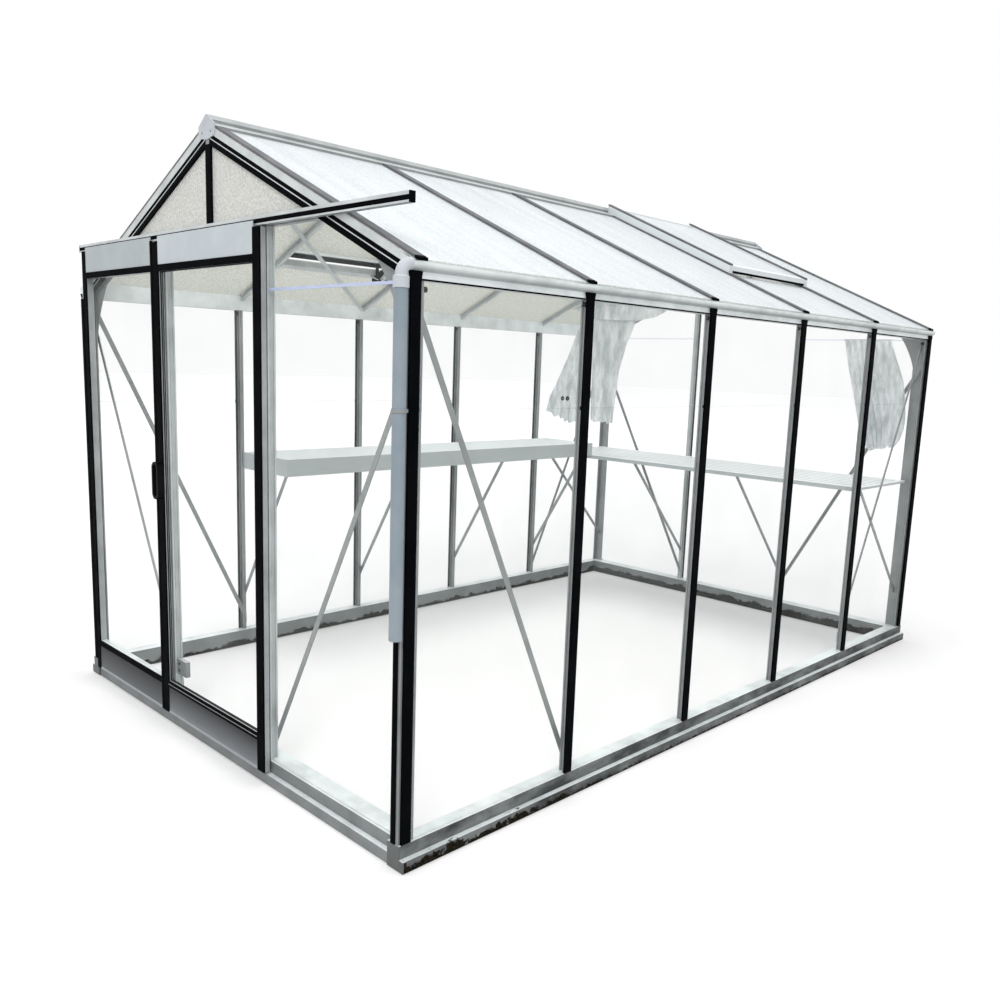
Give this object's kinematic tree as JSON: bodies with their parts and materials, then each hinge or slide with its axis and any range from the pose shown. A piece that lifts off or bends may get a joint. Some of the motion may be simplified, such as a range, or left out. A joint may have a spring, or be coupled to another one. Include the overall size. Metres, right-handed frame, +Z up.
{
  "type": "glass greenhouse",
  "caption": "Gabled aluminium greenhouse with clear walls, obscured roof, a sliding door, roof vents, a tray bench, a back shelf, shade curtains and a downpipe",
  "frame": {"origin": "on the ground under the middle of the bounding box", "axes": "+Z up, front gable with the door towards -Y, ridge along Y, +X to the right from the front"},
  "size_m": [2.33, 3.7754, 2.3323],
  "materials": {
    "aluminium": "mill, weathered",
    "black_strip": "satin black",
    "roof_strip": "satin grey",
    "clear_glass": "clear",
    "obscured_glass": "hammered, translucent",
    "pale_panel": "satin pale grey",
    "kick_plate": "brushed, dusty",
    "white_plastic": "moulded",
    "grey_pipe": "extruded, satin",
    "black_plastic": "moulded, satin",
    "bench_sheet": "pale sheet",
    "curtain_cloth": "thin woven white"
  },
  "bodies": {
    "house": {"base_sills": "aluminium", "base_corners": "aluminium", "corner_posts": "aluminium", "corner_gussets": "aluminium", "side_wall_posts": "aluminium", "gutters": "aluminium", "gutter_end_plates": "aluminium", "ridge_beam": "aluminium", "roof_bars": "aluminium", "gable_rafters": "aluminium", "gable_posts": "aluminium", "gable_ties": "aluminium", "roof_vent_frames": "aluminium", "wall_braces": "aluminium", "roof_brace": "aluminium", "door_rail": "aluminium", "side_panel_frame": "aluminium", "shelf_struts": "aluminium", "pipe_clip": "aluminium", "side_wall_strips": "black_strip", "gable_strips": "black_strip", "roof_strip_ends": "black_strip", "side_panel_strips": "black_strip", "door_rail_trim": "black_strip", "roof_strips": "roof_strip", "side_wall_glass": "clear_glass", "gable_glass": "clear_glass", "side_panel_glass": "clear_glass", "roof_glass": "obscured_glass", "gable_top_glass": "obscured_glass", "roof_vent_glass": "obscured_glass", "side_panel_header": "pale_panel", "side_panel_kick": "kick_plate", "ridge_end_caps": "white_plastic", "door_guide_block": "white_plastic", "downpipe_elbow": "white_plastic", "downpipe": "grey_pipe", "pane_joints": "grey_pipe", "vent_opener": "black_plastic", "bench_tray": "bench_sheet", "back_shelf": "bench_sheet", "left_curtain": "curtain_cloth", "right_curtain": "curtain_cloth"},
    "door": {"door_frame": "aluminium", "door_strips": "black_strip", "door_header_panel": "pale_panel", "door_kick_panel": "kick_plate", "door_glass": "clear_glass", "door_handle": "black_plastic", "door_hangers": "aluminium"}
  },
  "joints": [
    {"name": "door_slide", "type": "slide", "parent": "house", "child": "door", "axis": [1, 0, 0], "range_m": [0, 0.69]}
  ]
}
